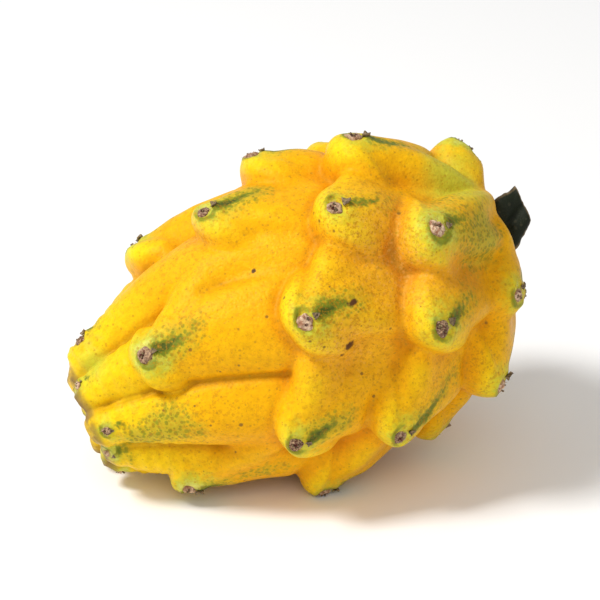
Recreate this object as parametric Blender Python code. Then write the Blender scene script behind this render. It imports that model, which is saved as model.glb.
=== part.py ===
"""A yellow dragon fruit (yellow pitahaya, Selenicereus megalanthus), as picked, lying on its side.

The skin is a turned body that grows eight slightly spiral ribs and a spiral of raised tubercles. Each
tubercle is a tongue that rises from the stem side and ends in a blunt, overhanging nose towards the
blossom end. Lengths are in millimetres in the growth formulas and become metres when a point is placed.
"""

import math

import bmesh
import bpy
import numpy as np
from mathutils import Matrix, Vector

# ---- Driving dimensions (millimetres, degrees) -------------------------------------------------------
MM = 0.001
BODY_LENGTH = 96.0          # blossom rim to stem end, without the tubercles
BODY_RADIUS = 28.6          # fattest radius, without the tubercles
RIM_RADIUS = 10.0           # radius of the body at the blossom rim
CRATER_RADIUS = 8.5         # the hollow that the flower left
CRATER_DEPTH = 5.0
FATTEST_AT = 0.56           # fraction of the length, counted from the blossom end

GOLDEN_ANGLE = 137.508      # turn from one tubercle to the next
TUBERCLES = 42
FRONT_TUBERCLE = 23         # the tubercle that turn 0 passes through
RIBS = 8
RIB_TWIST = 2.5             # how far the ribs turn for each tubercle passed

DOWN_TURN = 115.9           # the turn that faces straight down as it lies, on tubercles 22, 25 and 30
LIE_TILT = 20.6             # its axis rises towards the fat stem end
FLAT_DEPTH = 0.45           # how much of each foot is pressed flat by the fruit's weight

STUB_LENGTH = 7.0           # scrap of the three-winged stem that was cut with the fruit
STUB_RADIUS = 5.0
STUB_WING = 1.6
STUB_GAP = 0.6
STUB_SIDES = 18
# Each step of the stub: its length and its rise as shares of the stub's length, and its size
STUB_STEPS = ((0.35, 0.06, 1.05), (0.35, 0.14, 0.96), (0.30, 0.18, 0.86))
REMNANT_RADIUS = 5.0        # dried felt of the flower, left in the crater
REMNANT_THICKNESS = 3.0
REMNANT_GAP = 0.9
STEM_SEAT = 12.0            # the skin sinks to the plain body over this distance from the stem

SKIN_COLUMNS = 76
SKIN_ROWS = 52

# ---- Growth rules: (fraction of the length, value) pairs, blossom end first --------------------------
TUBERCLE_HEIGHT = ((0.0, 2.0), (0.05, 4.5), (0.2, 6.8), (0.4, 7.8), (0.6, 8.4), (0.8, 8.2), (0.93, 5.0),
                   (1.0, 2.0))
TUBERCLE_BACK = ((0.0, 50.0), (0.2, 40.0), (0.5, 25.0), (0.8, 17.0), (1.0, 12.0))
TUBERCLE_FRONT = ((0.0, 2.5), (0.1, 3.5), (0.2, 5.0), (0.5, 6.5), (0.8, 7.5), (1.0, 7.0))
TUBERCLE_WIDTH = ((0.0, 4.5), (0.1, 7.0), (0.3, 10.0), (0.5, 13.0), (0.8, 12.0), (1.0, 9.0))
NOSE_WIDTH = ((0.0, 3.0), (0.1, 4.5), (0.3, 5.5), (1.0, 6.2))
NOSE_LEAN = ((0.0, 0.4), (0.1, 1.6), (0.3, 3.0), (0.6, 3.0), (1.0, 1.0))
ARM_WIDTH = ((0.0, 5.0), (0.3, 7.5), (1.0, 8.0))
ARM_STEEP_SIDE = 0.85       # an arm drops steeply towards the blossom end
ARM_GENTLE_SIDE = 1.35      # and gently towards the stem
FACET_HOLLOW = ((0.0, 0.0), (0.2, 0.3), (0.4, 1.0), (1.0, 1.0))
RIB_DEPTH = ((0.0, 2.2), (0.06, 3.6), (0.15, 4.6), (0.35, 4.0), (0.55, 2.2), (0.75, 0.8), (1.0, 0.4))
CREASE_ROUNDING = ((0.0, 0.35), (0.25, 0.45), (0.5, 0.7), (1.0, 0.9))
ARMS = ((5, 0.66), (8, 0.82))       # ridges run to the 5th and 8th tubercle before, losing this much height

# The fruit grew a little unevenly: tubercle number -> shift along the length, extra turn, extra height
UNEVEN = {
    5: (0.04, 4, -0.5), 8: (0.04, 6, 2.8), 10: (-0.055, 0, 0.8), 13: (-0.035, 0, 0), 21: (0.01, 3, -0.5),
    22: (0, 0, 0.7), 23: (0.015, -2, 0.6), 25: (0, 0, 0.7), 26: (0.045, -7, 0), 28: (0.09, 7, 0),
    29: (0.01, 3, 1.0), 30: (0, 0, -2.0), 33: (0.055, 8, 0.6),
}


def by_length(rule, fraction):
    """A growth rule read at a fraction of the length."""
    return np.interp(fraction, [at for at, _ in rule], [value for _, value in rule])


def ease(low, high, value):
    """0 below low, 1 above high, and a smooth S between."""
    part = np.clip((value - low) / (high - low), 0, 1)
    return part * part * (3 - 2 * part)


def half_turn(angle):
    """The same angle between -pi and pi."""
    return (angle + math.pi) % (2 * math.pi) - math.pi


# ---- The turned body ---------------------------------------------------------------------------------
def body_radius(fraction):
    to_fattest = np.clip(fraction / FATTEST_AT, 0, 1)
    blossom_half = RIM_RADIUS + (BODY_RADIUS - RIM_RADIUS) * np.sin(math.pi / 2 * to_fattest) ** 1.1
    past_fattest = np.clip((fraction - FATTEST_AT) / (1 - FATTEST_AT), 0, 1)
    stem_half = BODY_RADIUS * (1 - past_fattest ** 2.1) ** (1 / 1.9)
    return np.where(fraction < FATTEST_AT, blossom_half, stem_half)


def meridian():
    """The body's outline from the crater's middle over the rim to the stem end: arc length, place, radius."""
    across = np.linspace(0, 1, 200)
    crater_radius = CRATER_RADIUS * across
    crater_place = CRATER_DEPTH * (1 - across ** 4)
    step = np.linspace(0, 1, 1000)
    stem_side = FATTEST_AT + (1 - FATTEST_AT) * np.sin(math.pi / 2 * step[1:])
    fraction = np.concatenate([FATTEST_AT * step, stem_side])
    place = np.concatenate([crater_place, BODY_LENGTH * fraction])
    radius = np.concatenate([crater_radius, body_radius(fraction)])
    arc = np.concatenate([[0], np.cumsum(np.hypot(np.diff(place), np.diff(radius)))])
    even = np.linspace(0, arc[-1], 3000)
    place = np.interp(even, arc, place)
    radius = np.interp(even, arc, radius)
    rounding = 24
    window = np.hanning(2 * rounding + 1)
    window /= window.sum()
    place = np.convolve(np.pad(place, rounding, mode="reflect"), window, "valid")
    radius = np.convolve(np.pad(radius, rounding, mode="reflect", reflect_type="odd"), window, "valid")
    arc = np.concatenate([[0], np.cumsum(np.hypot(np.diff(place), np.diff(radius)))])
    return arc, place, radius


ARC, PLACE, RADIUS = meridian()
RIM = int(np.argmin(PLACE))
PLACE_SLOPE = np.gradient(PLACE, ARC)
RADIUS_SLOPE = np.gradient(RADIUS, ARC)


# ---- The spiral of tubercles -------------------------------------------------------------------------
def tubercle_fraction(number):
    """Where a tubercle sits along the length: they crowd together towards both ends."""
    past_middle = number - 20.0
    fraction = 0.600 - 0.0310 * past_middle - 0.0005 * past_middle ** 2
    fraction = np.where(fraction < 0.10, 0.10 * np.exp(fraction / 0.10 - 1), fraction)
    return np.where(fraction > 0.90, 0.90 + 0.09 * np.tanh((fraction - 0.90) / 0.09), fraction)


NUMBERS = np.arange(TUBERCLES)
AT = tubercle_fraction(NUMBERS.astype(float))
TURN = np.radians(-GOLDEN_ANGLE * (NUMBERS - FRONT_TUBERCLE))
for number, (shift, extra_turn, _) in UNEVEN.items():
    AT[number] += shift
    TURN[number] += math.radians(extra_turn)
HEIGHT = by_length(TUBERCLE_HEIGHT, AT)
for number, (_, _, taller) in UNEVEN.items():
    HEIGHT[number] += taller
ARC_AT = np.interp(AT * BODY_LENGTH, PLACE[RIM:], ARC[RIM:])
RADIUS_AT = np.interp(ARC_AT, ARC, RADIUS)

COUNTED = np.linspace(-6, 60, 400)
COUNTED_FRACTION = 0.600 - 0.0310 * (COUNTED - 20) - 0.0005 * (COUNTED - 20) ** 2


def rib_height(fraction, turn):
    """Eight round ribs with sharp creases between them, deep at the blossom end and fading to the stem."""
    passed = np.interp(np.clip(fraction, 0.02, 1), COUNTED_FRACTION[::-1], COUNTED[::-1])
    phase = RIBS * (turn + math.radians(RIB_TWIST) * (passed - FRONT_TUBERCLE))
    return by_length(RIB_DEPTH, fraction) * np.abs(np.cos(phase / 2)) ** 0.75


def tongue_height(number, along, aside):
    """One tubercle's own height at a distance towards the stem and to the side of its nose."""
    at = AT[number]
    nose = by_length(NOSE_WIDTH, at)
    width = nose + (by_length(TUBERCLE_WIDTH, at) - nose) * ease(-1, 16, along)
    behind = 1 - np.clip(along / by_length(TUBERCLE_BACK, at), 0, 3)
    before = 1 - np.clip(-along / by_length(TUBERCLE_FRONT, at), 0, 9) ** 1.4
    side = np.sqrt((aside / width) ** 2 + 0.12 ** 2) - 0.12
    hollow = by_length(FACET_HOLLOW, at) * ease(5, 14, along) * np.exp(-(aside / (0.4 * width)) ** 2)
    return HEIGHT[number] * (np.where(along >= 0, behind, before) - side ** 1.6) - hollow


def arm_height(number, other, loss, along, aside):
    """The ridge that runs from one tubercle's nose towards another on its stem side."""
    to_along = ARC_AT[other] - ARC_AT[number]
    to_aside = (RADIUS_AT[other] + RADIUS_AT[number]) / 2 * half_turn(TURN[other] - TURN[number])
    share = np.clip((along * to_along + aside * to_aside) / (to_along ** 2 + to_aside ** 2), -0.1, 0.85)
    past = along - share * to_along
    distance = np.hypot(past, aside - share * to_aside)
    gentle = ease(-5, 5, past)
    width = by_length(ARM_WIDTH, AT[number]) * (ARM_STEEP_SIDE + (ARM_GENTLE_SIDE - ARM_STEEP_SIDE) * gentle)
    return HEIGHT[number] * (1 - loss * share - (distance / width) ** 2) - 0.6


def growth(arc, turn):
    """Height of the grown skin over the turned body, and how far each nose leans to the blossom end."""
    place = np.interp(arc, ARC, PLACE)
    radius = np.interp(arc, ARC, RADIUS)
    fraction = place / BODY_LENGTH
    rounding = by_length(CREASE_ROUNDING, fraction)
    heights = [rib_height(fraction, turn)]
    lean = np.zeros_like(arc)
    for number in NUMBERS:
        along = arc - ARC_AT[number]
        around = np.sqrt(np.maximum(radius, 0.5) * max(RADIUS_AT[number], 5.0))
        aside = around * half_turn(turn - TURN[number])
        heights.append(tongue_height(number, along, aside))
        for steps, loss in ARMS:
            if number >= steps:
                heights.append(arm_height(number, number - steps, loss, along, aside))
        near = np.exp(-((along - 0.5) / 4.0) ** 2 - (aside / 5.0) ** 2)
        lean = np.maximum(lean, by_length(NOSE_LEAN, AT[number]) * near)
    raised = sum(np.exp(np.clip(height / rounding, -40, 40)) for height in heights)
    return rounding * np.log(raised), lean


def skin_points(arc, turn):
    """Points of the skin about the fruit's own axis, X running from the blossom rim to the stem end."""
    height, lean = growth(arc, turn)
    outside = ease(0.35 * ARC[RIM], 1.05 * ARC[RIM], arc) * ease(STUB_RADIUS, STEM_SEAT, ARC[-1] - arc)
    height = height * outside
    lean = lean * outside
    along_place = np.interp(arc, ARC, PLACE_SLOPE)
    along_radius = np.interp(arc, ARC, RADIUS_SLOPE)
    place = np.interp(arc, ARC, PLACE) - along_radius * height - along_place * lean
    radius = np.maximum(np.interp(arc, ARC, RADIUS) + along_place * height - along_radius * lean, 0)
    return np.stack([place, -radius * np.cos(turn), -radius * np.sin(turn)], axis=1)


# ---- The pieces, each about the fruit's own axis -----------------------------------------------------
def material(name, colour, roughness):
    made = bpy.data.materials.new(name)
    made.use_nodes = True
    shader = made.node_tree.nodes["Principled BSDF"]
    shader.inputs["Base Color"].default_value = (*colour, 1)
    shader.inputs["Roughness"].default_value = roughness
    shader.inputs["Metallic"].default_value = 0.0
    return made


def make_object(name, shape, finish):
    mesh = bpy.data.meshes.new(name)
    shape.to_mesh(mesh)
    shape.free()
    mesh.materials.append(finish)
    made = bpy.data.objects.new(name, mesh)
    bpy.context.scene.collection.objects.link(made)
    return made


def fruit_shape():
    """A sphere whose rows and columns are carried out to the grown skin."""
    shape = bmesh.new()
    bmesh.ops.create_uvsphere(shape, u_segments=SKIN_COLUMNS, v_segments=SKIN_ROWS, radius=1.0)
    polar = np.array([math.acos(max(-1.0, min(1.0, vert.co.z))) for vert in shape.verts])
    turn = np.array([-math.atan2(vert.co.y, vert.co.x) for vert in shape.verts])
    points = skin_points(ARC[-1] * polar / math.pi, turn)
    for vert, point in zip(shape.verts, points):
        vert.co = Vector(point) * MM
    return shape


def stem_stub_shape():
    """A three-winged scrap of stem, extruded from its outline and curving up to where it was cut off."""
    shape = bmesh.new()
    bmesh.ops.create_circle(shape, cap_ends=True, segments=STUB_SIDES, radius=STUB_RADIUS * MM)
    for vert in shape.verts:
        vert.co *= 1 + STUB_WING / STUB_RADIUS * math.cos(3 * math.atan2(vert.co.y, vert.co.x))
    shape.faces.ensure_lookup_table()
    end = shape.faces[0]
    base = end
    for step, rise, size in STUB_STEPS:
        grown = bmesh.ops.extrude_face_region(shape, geom=[end])["geom"]
        if end is not base:
            bmesh.ops.delete(shape, geom=[end], context="FACES_ONLY")
        verts = [item for item in grown if isinstance(item, bmesh.types.BMVert)]
        end = next(item for item in grown if isinstance(item, bmesh.types.BMFace))
        bmesh.ops.translate(shape, verts=verts, vec=Vector((0, rise, step)) * STUB_LENGTH * MM)
        middle = sum((vert.co for vert in verts), Vector()) / len(verts)
        for vert in verts:
            vert.co = middle + (vert.co - middle) * size
    # The outline was drawn facing +Z: turn it to face along the fruit, its curve rising.
    along = Matrix(((0, 0, 1), (1, 0, 0), (0, 1, 0))).to_4x4()
    place = Matrix.Translation(Vector((BODY_LENGTH + STUB_GAP, 0, 0)) * MM)
    bmesh.ops.transform(shape, matrix=place @ along, verts=shape.verts)
    bmesh.ops.recalc_face_normals(shape, faces=shape.faces)
    return shape


def flower_remnant_shape():
    """The dried felt of the flower: a thin cushion in the crater."""
    shape = bmesh.new()
    bmesh.ops.create_uvsphere(shape, u_segments=20, v_segments=10, radius=1.0)
    size = Matrix.Diagonal((REMNANT_RADIUS * MM, REMNANT_RADIUS * MM, REMNANT_THICKNESS / 2 * MM, 1))
    face_out = Matrix.Rotation(math.radians(-90), 4, "Y")
    place = Matrix.Translation(Vector((CRATER_DEPTH - REMNANT_GAP - REMNANT_THICKNESS / 2, 0, 0)) * MM)
    bmesh.ops.transform(shape, matrix=place @ face_out @ size, verts=shape.verts)
    return shape


# ---- Lying on its side -------------------------------------------------------------------------------
def lying_turn():
    tilt = Matrix.Rotation(math.radians(-LIE_TILT), 4, "Y")
    roll = Matrix.Rotation(math.radians(90 - DOWN_TURN), 4, "X")
    return tilt @ roll


def press_feet_flat(shape, turned):
    """Cuts the lowest noses level, where the fruit's weight rests. Returns that level."""
    level = min((turned @ vert.co).z for vert in shape.verts) + FLAT_DEPTH * MM
    back = turned.inverted()
    down = back.to_3x3() @ Vector((0, 0, -1))
    cut = bmesh.ops.bisect_plane(
        shape,
        geom=shape.verts[:] + shape.edges[:] + shape.faces[:],
        dist=1e-6,
        plane_co=back @ Vector((0, 0, level)),
        plane_no=down,
        clear_outer=True,
    )
    rims = [item for item in cut["geom_cut"] if isinstance(item, bmesh.types.BMEdge)]
    bmesh.ops.holes_fill(shape, edges=rims)
    bmesh.ops.recalc_face_normals(shape, faces=shape.faces)
    return level


def main():
    for old in list(bpy.data.objects):
        bpy.data.objects.remove(old)
    turned = lying_turn()
    fruit = fruit_shape()
    level = press_feet_flat(fruit, turned)
    skin = material("yellow_skin", (0.90, 0.50, 0.03), 0.42)
    stem = material("dark_stem", (0.03, 0.05, 0.03), 0.50)
    felt = material("dried_felt", (0.28, 0.15, 0.07), 0.90)
    pieces = [
        make_object("fruit", fruit, skin),
        make_object("stem_stub", stem_stub_shape(), stem),
        make_object("flower_remnant", flower_remnant_shape(), felt),
    ]
    corners = [turned @ vert.co for piece in pieces for vert in piece.data.vertices]
    middle_x = (min(corner.x for corner in corners) + max(corner.x for corner in corners)) / 2
    middle_y = (min(corner.y for corner in corners) + max(corner.y for corner in corners)) / 2
    resting = bpy.data.objects.new("resting_pose", None)
    bpy.context.scene.collection.objects.link(resting)
    resting.matrix_world = Matrix.Translation((-middle_x, -middle_y, -level)) @ turned
    for piece in pieces:
        piece.parent = resting
        piece.data.shade_smooth()


main()
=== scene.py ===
# %% [markdown]
# # A yellow dragon fruit, lying on its side
# The fruit of a climbing cactus, picked with a scrap of its stem. Its waxy yellow skin grew in ribs and in
# raised, nose-like tubercles, and each nose carries an areole: the small felt cushion that its spines fell
# from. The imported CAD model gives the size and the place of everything. This script grows the fine surface
# and the small dried parts on it. Lengths inside the formulas are in millimetres.

# %% Load the frame
import math
import random

import bmesh
import bpy
import numpy as np
from mathutils import Matrix, Vector, noise


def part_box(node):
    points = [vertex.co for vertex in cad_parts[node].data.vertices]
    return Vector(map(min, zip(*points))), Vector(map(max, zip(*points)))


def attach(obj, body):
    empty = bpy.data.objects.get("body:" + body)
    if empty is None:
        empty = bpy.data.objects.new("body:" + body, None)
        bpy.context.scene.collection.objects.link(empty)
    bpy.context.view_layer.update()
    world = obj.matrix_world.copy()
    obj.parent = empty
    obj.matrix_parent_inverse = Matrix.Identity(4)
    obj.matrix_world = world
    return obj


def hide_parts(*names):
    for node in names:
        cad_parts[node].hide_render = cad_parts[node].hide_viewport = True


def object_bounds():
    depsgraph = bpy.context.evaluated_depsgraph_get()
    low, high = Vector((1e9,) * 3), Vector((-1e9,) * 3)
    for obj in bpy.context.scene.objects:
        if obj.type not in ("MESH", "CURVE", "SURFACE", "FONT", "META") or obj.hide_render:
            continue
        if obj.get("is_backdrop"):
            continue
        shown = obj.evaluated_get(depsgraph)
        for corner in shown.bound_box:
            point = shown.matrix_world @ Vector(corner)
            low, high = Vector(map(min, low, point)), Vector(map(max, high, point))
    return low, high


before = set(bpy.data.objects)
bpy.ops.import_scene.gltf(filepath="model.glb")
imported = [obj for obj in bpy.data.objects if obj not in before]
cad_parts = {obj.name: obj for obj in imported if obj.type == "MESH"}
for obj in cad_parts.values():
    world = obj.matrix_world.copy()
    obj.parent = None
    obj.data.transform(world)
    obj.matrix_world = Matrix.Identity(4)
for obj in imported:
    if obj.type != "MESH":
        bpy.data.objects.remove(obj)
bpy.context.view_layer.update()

MM = 0.001
print("nodes:", sorted(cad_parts))

# %% [markdown]
# ## How the fruit grew
# A dragon fruit follows rules that suit a formula better than a brush. A turned body narrows to the flower's
# scar. Eight ribs run along it and twist a little. The tubercles follow a spiral in which each one is turned
# by the golden angle from the one before, as scales on a pine cone are. As functions of the place on the
# skin, these rules can be read at any fineness. The CAD model reads them coarsely, and the fine skin here
# reads them every half millimetre, so the two agree.

# %% The driving dimensions
BODY_LENGTH = 96.0
BODY_RADIUS = 28.6
RIM_RADIUS = 10.0
CRATER_RADIUS = 8.5
CRATER_DEPTH = 5.0
FATTEST_AT = 0.56
GOLDEN_ANGLE = 137.508
TUBERCLES = 42
FRONT_TUBERCLE = 23
RIBS = 8
RIB_TWIST = 2.5
DOWN_TURN = 115.9
LIE_TILT = 20.6
STEM_RADIUS = 5.0
STEM_SEAT = 12.0

# Growth rules: (fraction of the length, value) pairs, blossom end first
TUBERCLE_HEIGHT = ((0.0, 2.0), (0.05, 4.5), (0.2, 6.8), (0.4, 7.8), (0.6, 8.4), (0.8, 8.2), (0.93, 5.0),
                   (1.0, 2.0))
TUBERCLE_BACK = ((0.0, 50.0), (0.2, 40.0), (0.5, 25.0), (0.8, 17.0), (1.0, 12.0))
TUBERCLE_FRONT = ((0.0, 2.5), (0.1, 3.5), (0.2, 5.0), (0.5, 6.5), (0.8, 7.5), (1.0, 7.0))
TUBERCLE_WIDTH = ((0.0, 4.5), (0.1, 7.0), (0.3, 10.0), (0.5, 13.0), (0.8, 12.0), (1.0, 9.0))
NOSE_WIDTH = ((0.0, 3.0), (0.1, 4.5), (0.3, 5.5), (1.0, 6.2))
NOSE_LEAN = ((0.0, 0.4), (0.1, 1.6), (0.3, 3.0), (0.6, 3.0), (1.0, 1.0))
ARM_WIDTH = ((0.0, 5.0), (0.3, 7.5), (1.0, 8.0))
ARM_STEEP_SIDE = 0.85
ARM_GENTLE_SIDE = 1.35
FACET_HOLLOW = ((0.0, 0.0), (0.2, 0.3), (0.4, 1.0), (1.0, 1.0))
RIB_DEPTH = ((0.0, 2.2), (0.06, 3.6), (0.15, 4.6), (0.35, 4.0), (0.55, 2.2), (0.75, 0.8), (1.0, 0.4))
CREASE_ROUNDING = ((0.0, 0.35), (0.25, 0.45), (0.5, 0.7), (1.0, 0.9))
ARMS = ((5, 0.66), (8, 0.82))

# The fruit grew a little unevenly: tubercle number -> shift along the length, extra turn, extra height
UNEVEN = {
    5: (0.04, 4, -0.5), 8: (0.04, 6, 2.8), 10: (-0.055, 0, 0.8), 13: (-0.035, 0, 0), 21: (0.01, 3, -0.5),
    22: (0, 0, 0.7), 23: (0.015, -2, 0.6), 25: (0, 0, 0.7), 26: (0.045, -7, 0), 28: (0.09, 7, 0),
    29: (0.01, 3, 1.0), 30: (0, 0, -2.0), 33: (0.055, 8, 0.6),
}
print("a body", BODY_LENGTH, "mm long with", TUBERCLES, "tubercles on", RIBS, "ribs")


# %% Small helpers for growth rules
def by_length(rule, fraction):
    """A growth rule read at a fraction of the length."""
    return np.interp(fraction, [at for at, _ in rule], [value for _, value in rule])


def ease(low, high, value):
    """0 below low, 1 above high, and a smooth S between."""
    part = np.clip((value - low) / (high - low), 0, 1)
    return part * part * (3 - 2 * part)


def half_turn(angle):
    """The same angle between -pi and pi."""
    return (angle + math.pi) % (2 * math.pi) - math.pi


# %% The turned body's outline
def body_radius(fraction):
    to_fattest = np.clip(fraction / FATTEST_AT, 0, 1)
    blossom_half = RIM_RADIUS + (BODY_RADIUS - RIM_RADIUS) * np.sin(math.pi / 2 * to_fattest) ** 1.1
    past_fattest = np.clip((fraction - FATTEST_AT) / (1 - FATTEST_AT), 0, 1)
    stem_half = BODY_RADIUS * (1 - past_fattest ** 2.1) ** (1 / 1.9)
    return np.where(fraction < FATTEST_AT, blossom_half, stem_half)


def meridian():
    """The outline from the crater's middle over the rim to the stem end: arc length, place, radius."""
    across = np.linspace(0, 1, 200)
    step = np.linspace(0, 1, 1000)
    stem_side = FATTEST_AT + (1 - FATTEST_AT) * np.sin(math.pi / 2 * step[1:])
    fraction = np.concatenate([FATTEST_AT * step, stem_side])
    place = np.concatenate([CRATER_DEPTH * (1 - across ** 4), BODY_LENGTH * fraction])
    radius = np.concatenate([CRATER_RADIUS * across, body_radius(fraction)])
    arc = np.concatenate([[0], np.cumsum(np.hypot(np.diff(place), np.diff(radius)))])
    even = np.linspace(0, arc[-1], 3000)
    place = np.interp(even, arc, place)
    radius = np.interp(even, arc, radius)
    rounding = 24
    window = np.hanning(2 * rounding + 1)
    window /= window.sum()
    place = np.convolve(np.pad(place, rounding, mode="reflect"), window, "valid")
    radius = np.convolve(np.pad(radius, rounding, mode="reflect", reflect_type="odd"), window, "valid")
    arc = np.concatenate([[0], np.cumsum(np.hypot(np.diff(place), np.diff(radius)))])
    return arc, place, radius


ARC, PLACE, RADIUS = meridian()
RIM = int(np.argmin(PLACE))
PLACE_SLOPE = np.gradient(PLACE, ARC)
RADIUS_SLOPE = np.gradient(RADIUS, ARC)
print("from the crater to the stem the outline is", round(float(ARC[-1]), 1), "mm long")


# %% The spiral of tubercles
def tubercle_fraction(number):
    """Where a tubercle sits along the length: they crowd together towards both ends."""
    past_middle = number - 20.0
    fraction = 0.600 - 0.0310 * past_middle - 0.0005 * past_middle ** 2
    fraction = np.where(fraction < 0.10, 0.10 * np.exp(fraction / 0.10 - 1), fraction)
    return np.where(fraction > 0.90, 0.90 + 0.09 * np.tanh((fraction - 0.90) / 0.09), fraction)


NUMBERS = np.arange(TUBERCLES)
AT = tubercle_fraction(NUMBERS.astype(float))
TURN = np.radians(-GOLDEN_ANGLE * (NUMBERS - FRONT_TUBERCLE))
for number, (shift, extra_turn, _) in UNEVEN.items():
    AT[number] += shift
    TURN[number] += math.radians(extra_turn)
HEIGHT = by_length(TUBERCLE_HEIGHT, AT)
for number, (_, _, taller) in UNEVEN.items():
    HEIGHT[number] += taller
CUSHION_SIZE = ((0.0, 0.5), (0.06, 0.75), (0.2, 1.0), (0.9, 1.0), (1.0, 0.6))
CUSHION_AT = by_length(CUSHION_SIZE, AT)
ARC_AT = np.interp(AT * BODY_LENGTH, PLACE[RIM:], ARC[RIM:])
RADIUS_AT = np.interp(ARC_AT, ARC, RADIUS)
COUNTED = np.linspace(-6, 60, 400)
COUNTED_FRACTION = 0.600 - 0.0310 * (COUNTED - 20) - 0.0005 * (COUNTED - 20) ** 2
# The noses beside the stem stayed bare.
BARE_FROM = 0.965
BORNE = [int(number) for number in NUMBERS if AT[number] < BARE_FROM]
print("the first and last tubercle sit at", round(AT[0], 3), "and", round(AT[-1], 3), "of the length")
print(len(BORNE), "noses carry an areole")


# %% Ribs, tongues and arms
def rib_phase(fraction, turn):
    """Grows by a full turn from one rib to the next."""
    passed = np.interp(np.clip(fraction, 0.02, 1), COUNTED_FRACTION[::-1], COUNTED[::-1])
    return RIBS * (turn + math.radians(RIB_TWIST) * (passed - FRONT_TUBERCLE))


def rib_height(fraction, turn):
    """Eight round ribs with sharp creases between them, deep at the blossom end and fading to the stem."""
    return by_length(RIB_DEPTH, fraction) * np.abs(np.cos(rib_phase(fraction, turn) / 2)) ** 0.75


def tongue_height(number, along, aside):
    """One tubercle's own height at a distance towards the stem and to the side of its nose."""
    at = AT[number]
    nose = by_length(NOSE_WIDTH, at)
    width = nose + (by_length(TUBERCLE_WIDTH, at) - nose) * ease(-1, 16, along)
    behind = 1 - np.clip(along / by_length(TUBERCLE_BACK, at), 0, 3)
    before = 1 - np.clip(-along / by_length(TUBERCLE_FRONT, at), 0, 9) ** 1.4
    side = np.sqrt((aside / width) ** 2 + 0.12 ** 2) - 0.12
    hollow = by_length(FACET_HOLLOW, at) * ease(5, 14, along) * np.exp(-(aside / (0.4 * width)) ** 2)
    return HEIGHT[number] * (np.where(along >= 0, behind, before) - side ** 1.6) - hollow


def arm_height(number, other, loss, along, aside):
    """The ridge that runs from one tubercle's nose towards another on its stem side."""
    to_along = ARC_AT[other] - ARC_AT[number]
    to_aside = (RADIUS_AT[other] + RADIUS_AT[number]) / 2 * half_turn(TURN[other] - TURN[number])
    share = np.clip((along * to_along + aside * to_aside) / (to_along ** 2 + to_aside ** 2), -0.1, 0.85)
    past = along - share * to_along
    distance = np.hypot(past, aside - share * to_aside)
    gentle = ease(-5, 5, past)
    width = by_length(ARM_WIDTH, AT[number]) * (ARM_STEEP_SIDE + (ARM_GENTLE_SIDE - ARM_STEEP_SIDE) * gentle)
    return HEIGHT[number] * (1 - loss * share - (distance / width) ** 2) - 0.6


def from_nose(number, arc, turn):
    """How far a place on the skin is from a tubercle's nose: towards the stem, and to the side."""
    radius = np.interp(arc, ARC, RADIUS)
    around = np.sqrt(np.maximum(radius, 0.5) * max(RADIUS_AT[number], 5.0))
    return arc - ARC_AT[number], around * half_turn(turn - TURN[number])


def growth(arc, turn):
    """Height of the grown skin over the turned body, and how far each nose leans to the blossom end."""
    fraction = np.interp(arc, ARC, PLACE) / BODY_LENGTH
    rounding = by_length(CREASE_ROUNDING, fraction)
    raised = np.exp(rib_height(fraction, turn) / rounding)
    lean = np.zeros_like(arc)
    for number in NUMBERS:
        along, aside = from_nose(number, arc, turn)
        heights = [tongue_height(number, along, aside)]
        for steps, loss in ARMS:
            if number >= steps:
                heights.append(arm_height(number, number - steps, loss, along, aside))
        for height in heights:
            raised += np.exp(np.clip(height / rounding, -40, 40))
        near = np.exp(-((along - 0.5) / 4.0) ** 2 - (aside / 5.0) ** 2)
        lean = np.maximum(lean, by_length(NOSE_LEAN, AT[number]) * near)
    return rounding * np.log(raised), lean


# %% [markdown]
# ## Marks of life on the skin
# Between the big forms, a real skin has small ones: each areole sits in a shallow pit with a swollen collar,
# a groove runs from it towards the stem, the narrow neck is folded across its ribs, and the whole surface
# waves by a few tenths of a millimetre. As bump they would leave the outline and the exported mesh too
# smooth, so they are true heights, added to the growth.

# %% Sizes of the small forms
CUSHION_RADIUS = 1.6
PIT_DEPTH = 0.55
COLLAR_HEIGHT = 0.35
GROOVE_LENGTH = 11.0
GROOVE_DEPTH = 0.45
FOLD_DEPTH = 0.16
CREASE_DEPTH = 1.1
CREASE_WIDTH = 0.9
WAVE_HEIGHT = 0.28
draw = random.Random(7)
# Each areole's groove grew to its own length and strength.
GROOVE_REACH = [draw.uniform(0.6, 1.15) for _ in NUMBERS]
GROOVE_STRENGTH = [draw.uniform(0.45, 1.0) for _ in NUMBERS]
for number, strength in {23: 0.95, 26: 1.25, 31: 1.1, 18: 0.6, 10: 0.9, 28: 1.0, 33: 1.0, 2: 1.3}.items():
    GROOVE_STRENGTH[number] = strength
print("grooves are", round(GROOVE_LENGTH * min(GROOVE_REACH), 1), "to",
      round(GROOVE_LENGTH * max(GROOVE_REACH), 1), "mm long")


# %% The small forms as heights
def soft_noise(points, wavelength, seed):
    """Smooth noise between about -1 and 1, read at points in millimetres."""
    shift = Vector((seed * 7.31, seed * 3.17, seed * 5.73))
    return np.array([noise.noise(Vector(point) / wavelength + shift) for point in points]) * 1.6


def rib_crease(arc, turn, height):
    """1 on the line between two ribs, where no tubercle has grown over it."""
    fraction = np.interp(arc, ARC, PLACE) / BODY_LENGTH
    around = np.abs(half_turn(rib_phase(fraction, turn) - math.pi)) / RIBS
    distance = around * (np.interp(arc, ARC, RADIUS) + height)
    free = np.exp(-np.maximum(height - rib_height(fraction, turn) - 0.8, 0) / 1.5)
    return np.exp(-(distance / CREASE_WIDTH) ** 2) * free * (1 - ease(0.28, 0.55, fraction))


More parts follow.
